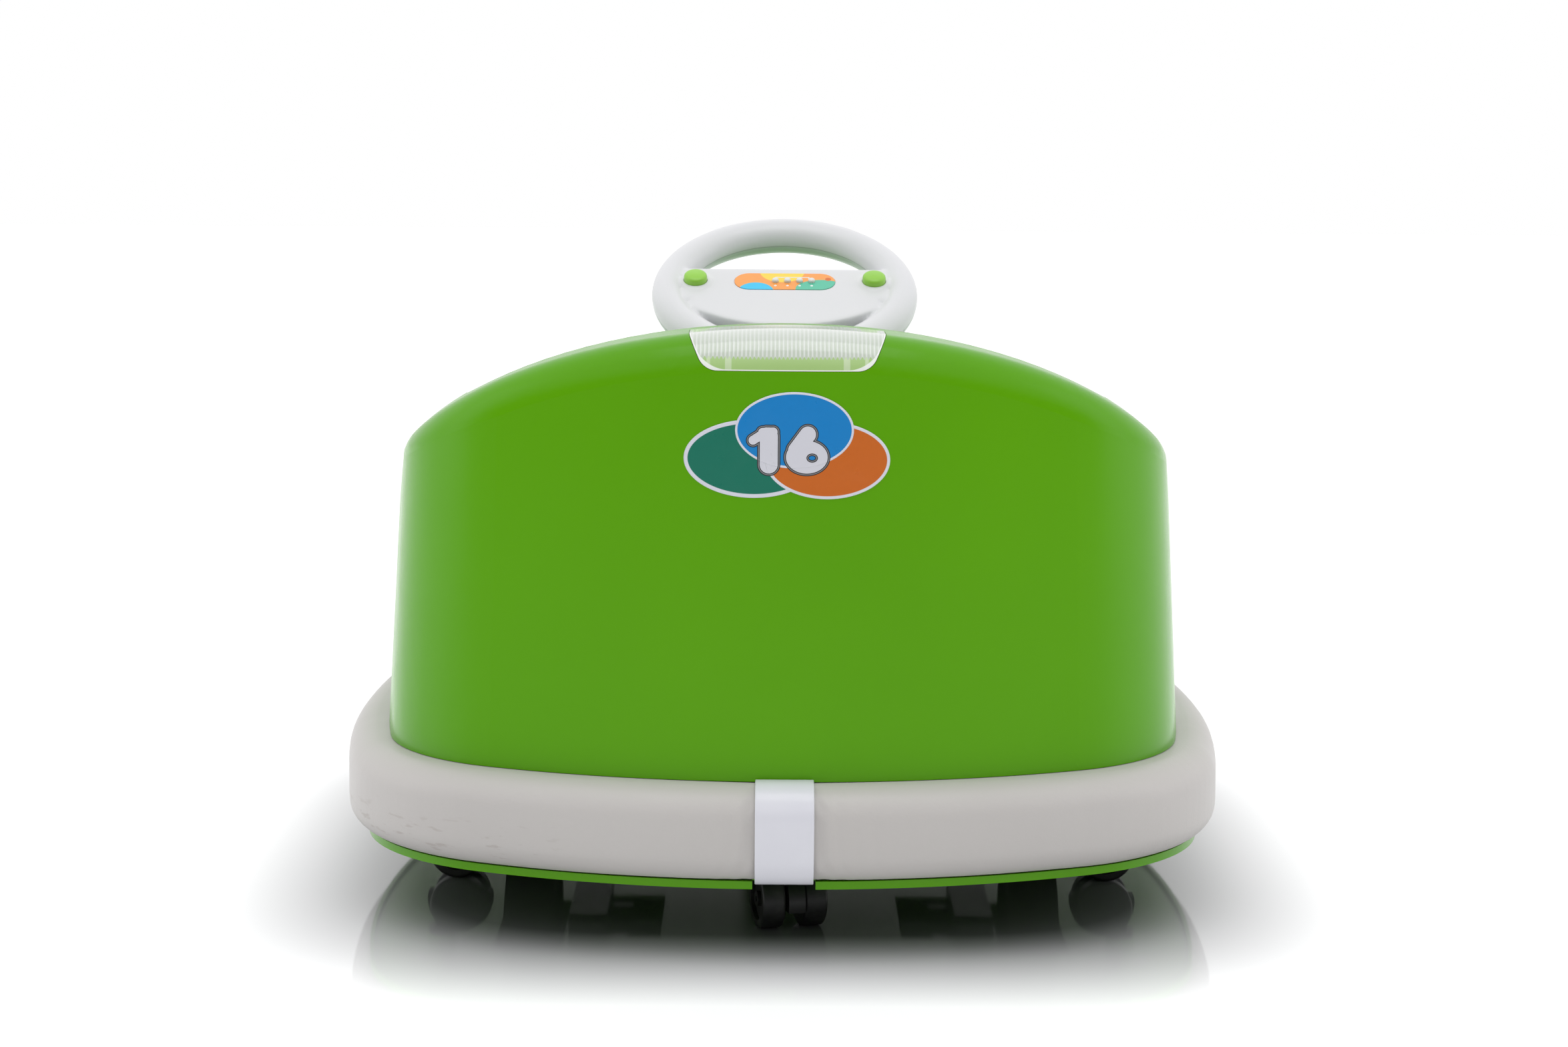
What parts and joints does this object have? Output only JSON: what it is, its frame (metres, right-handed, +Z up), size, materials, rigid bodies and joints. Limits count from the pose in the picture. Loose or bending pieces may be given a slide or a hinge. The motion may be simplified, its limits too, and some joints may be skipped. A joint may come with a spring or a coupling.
{
  "type": "ride-on bumper car",
  "caption": "Child's battery ride-on bumper car with a padded bumper ring, tilted steering wheel, driven side wheels and swivel casters.",
  "frame": {"origin": "on the floor, under the middle of the car's outline", "axes": "+X to the driver's right, +Y to the car's front, +Z up"},
  "size_m": [0.6598, 0.6922, 0.4832],
  "materials": {
    "green_plastic": "glossy moulded lime green polypropylene",
    "green_pan": "moulded green plastic",
    "bumper_vinyl": "off-white vinyl over closed-cell foam",
    "clip_plastic": "white moulded plastic",
    "white_plastic": "glossy white moulded plastic",
    "lens_clear": "clear ribbed polycarbonate",
    "decal_print": "printed vinyl sticker",
    "panel_print": "printed vinyl sticker",
    "button_green": "glossy green plastic",
    "key_white": "white plastic",
    "black_plastic": "black moulded plastic",
    "black_tyre": "hard black plastic tread",
    "steel": "zinc-plated steel",
    "gear_nylon": "natural acetal",
    "circuit": "green circuit board",
    "battery_case": "dark battery case"
  },
  "bodies": {
    "chassis": {"base_pan": "green_pan", "body_shell": "green_plastic", "seat_tub": "green_plastic", "bumper_ring": "bumper_vinyl", "bumper_clip": "clip_plastic", "rear_lens": "lens_clear", "rear_lamp_tray": "white_plastic", "rear_led_strip": "circuit", "number_decal": "decal_print", "column_bracket": "black_plastic", "column_bushes": "gear_nylon", "micro_switches": "black_plastic", "rocker_housings": "black_plastic", "charging_port": "black_plastic", "battery": "battery_case", "battery_strap": "steel", "control_board": "circuit", "pedal_base": "black_plastic", "pedal_pin": "steel", "gearbox_case_left": "black_plastic", "gearbox_case_right": "black_plastic", "gearbox_lids": "black_plastic", "drive_motors": "steel", "chassis_screws": "steel"},
    "steering": {"wheel_front_shell": "white_plastic", "wheel_back_shell": "white_plastic", "wheel_panel": "panel_print", "wheel_sound_board": "circuit", "wheel_speaker": "black_plastic", "wheel_cells": "battery_case", "steering_shaft": "steel", "wheel_bolt": "steel", "steering_cam": "gear_nylon"},
    "horn_left": {"horn_button_left": "button_green"},
    "horn_right": {"horn_button_right": "button_green"},
    "power_switch": {"power_rocker": "black_plastic"},
    "direction_switch": {"direction_rocker": "black_plastic"},
    "pedal": {"foot_pedal": "black_plastic"},
    "key_1": {"panel_key_1": "key_white"},
    "key_2": {"panel_key_2": "key_white"},
    "key_3": {"panel_key_3": "key_white"},
    "key_4": {"panel_key_4": "key_white"},
    "drive_wheel_left": {"drive_hub_left": "black_plastic", "drive_tyre_left": "black_tyre", "drive_axle_left": "steel"},
    "idler_left": {"idler_gear_left": "gear_nylon"},
    "pinion_left": {"motor_pinion_left": "steel"},
    "drive_wheel_right": {"drive_hub_right": "black_plastic", "drive_tyre_right": "black_tyre", "drive_axle_right": "steel"},
    "idler_right": {"idler_gear_right": "gear_nylon"},
    "pinion_right": {"motor_pinion_right": "steel"},
    "caster_rear_fork": {"caster_rear_swivel": "black_plastic"},
    "caster_rear_rollers": {"caster_rear_wheels": "black_plastic"},
    "caster_left_fork": {"caster_left_swivel": "black_plastic"},
    "caster_left_rollers": {"caster_left_wheels": "black_plastic"},
    "caster_right_fork": {"caster_right_swivel": "black_plastic"},
    "caster_right_rollers": {"caster_right_wheels": "black_plastic"},
    "caster_front_fork": {"caster_front_swivel": "black_plastic"},
    "caster_front_rollers": {"caster_front_wheels": "black_plastic"}
  },
  "joints": [
    {"name": "steering_turn", "type": "hinge", "parent": "chassis", "child": "steering", "pos_m": [0, 0.085, 0.426], "axis": [0, -0.4695, 0.8829], "range_deg": [-35, 35]},
    {"name": "horn_left_press", "type": "slide", "parent": "steering", "child": "horn_left", "axis": [0, 0.4695, -0.8829], "range_m": [0, 0.003], "stiffness_N_per_m": 400, "springref_m": -0.0015},
    {"name": "horn_right_press", "type": "slide", "parent": "steering", "child": "horn_right", "axis": [0, 0.4695, -0.8829], "range_m": [0, 0.003], "stiffness_N_per_m": 400, "springref_m": -0.0015},
    {"name": "key_1_press", "type": "slide", "parent": "steering", "child": "key_1", "axis": [0, 0.4695, -0.8829], "range_m": [0, 0.0012], "stiffness_N_per_m": 300, "springref_m": -0.0005},
    {"name": "key_2_press", "type": "slide", "parent": "steering", "child": "key_2", "axis": [0, 0.4695, -0.8829], "range_m": [0, 0.0012], "stiffness_N_per_m": 300, "springref_m": -0.0005},
    {"name": "key_3_press", "type": "slide", "parent": "steering", "child": "key_3", "axis": [0, 0.4695, -0.8829], "range_m": [0, 0.0012], "stiffness_N_per_m": 300, "springref_m": -0.0005},
    {"name": "key_4_press", "type": "slide", "parent": "steering", "child": "key_4", "axis": [0, 0.4695, -0.8829], "range_m": [0, 0.0012], "stiffness_N_per_m": 300, "springref_m": -0.0005},
    {"name": "wheel_left_spin", "type": "hinge", "parent": "chassis", "child": "drive_wheel_left", "pos_m": [-0.192, -0.04, 0.065], "axis": [1, 0, 0], "continuous": true},
    {"name": "idler_left_spin", "type": "hinge", "parent": "chassis", "child": "idler_left", "pos_m": [-0.145, -0.01822, 0.07758], "axis": [1, 0, 0], "continuous": true},
    {"name": "motor_left_spin", "type": "hinge", "parent": "chassis", "child": "pinion_left", "pos_m": [-0.14, 0.00409, 0.08151], "axis": [1, 0, 0], "continuous": true},
    {"name": "wheel_right_spin", "type": "hinge", "parent": "chassis", "child": "drive_wheel_right", "pos_m": [0.192, -0.04, 0.065], "axis": [1, 0, 0], "continuous": true},
    {"name": "idler_right_spin", "type": "hinge", "parent": "chassis", "child": "idler_right", "pos_m": [0.145, -0.01822, 0.07758], "axis": [1, 0, 0], "continuous": true},
    {"name": "motor_right_spin", "type": "hinge", "parent": "chassis", "child": "pinion_right", "pos_m": [0.14, 0.00409, 0.08151], "axis": [1, 0, 0], "continuous": true},
    {"name": "caster_rear_swivel_turn", "type": "hinge", "parent": "chassis", "child": "caster_rear_fork", "pos_m": [0, -0.231, 0.06], "axis": [0, 0, 1], "continuous": true},
    {"name": "caster_rear_roll", "type": "hinge", "parent": "caster_rear_fork", "child": "caster_rear_rollers", "pos_m": [0.00388, -0.24549, 0.021], "axis": [0.9659, 0.2588, 0], "continuous": true},
    {"name": "caster_left_swivel_turn", "type": "hinge", "parent": "chassis", "child": "caster_left_fork", "pos_m": [-0.258, -0.096, 0.06], "axis": [0, 0, 1], "continuous": true},
    {"name": "caster_left_roll", "type": "hinge", "parent": "caster_left_fork", "child": "caster_left_rollers", "pos_m": [-0.243, -0.096, 0.021], "axis": [0, 1, 0], "continuous": true},
    {"name": "caster_right_swivel_turn", "type": "hinge", "parent": "chassis", "child": "caster_right_fork", "pos_m": [0.258, -0.096, 0.06], "axis": [0, 0, 1], "continuous": true},
    {"name": "caster_right_roll", "type": "hinge", "parent": "caster_right_fork", "child": "caster_right_rollers", "pos_m": [0.243, -0.096, 0.021], "axis": [0, -1, 0], "continuous": true},
    {"name": "caster_front_swivel_turn", "type": "hinge", "parent": "chassis", "child": "caster_front_fork", "pos_m": [0, 0.24, 0.06], "axis": [0, 0, 1], "continuous": true},
    {"name": "caster_front_roll", "type": "hinge", "parent": "caster_front_fork", "child": "caster_front_rollers", "pos_m": [-0.00388, 0.22551, 0.021], "axis": [0.9659, -0.2588, 0], "continuous": true},
    {"name": "pedal_press", "type": "hinge", "parent": "chassis", "child": "pedal", "pos_m": [0.07, 0.098, 0.074], "axis": [-1, 0, 0], "range_deg": [0, 12], "stiffness_Nm_per_rad": 3, "springref_deg": -11.46},
    {"name": "power_rocker_tip", "type": "hinge", "parent": "chassis", "child": "power_switch", "pos_m": [-0.078, 0.15942, 0.29455], "axis": [1, 0, 0], "range_deg": [0, 16]},
    {"name": "direction_rocker_tip", "type": "hinge", "parent": "chassis", "child": "direction_switch", "pos_m": [0.078, 0.15942, 0.29455], "axis": [1, 0, 0], "range_deg": [0, 16]}
  ],
  "couplings": [
    {"joint": "idler_left_spin", "follows": "wheel_left_spin", "ratio": -4},
    {"joint": "motor_left_spin", "follows": "wheel_left_spin", "ratio": 16},
    {"joint": "idler_right_spin", "follows": "wheel_right_spin", "ratio": -4},
    {"joint": "motor_right_spin", "follows": "wheel_right_spin", "ratio": 16}
  ]
}
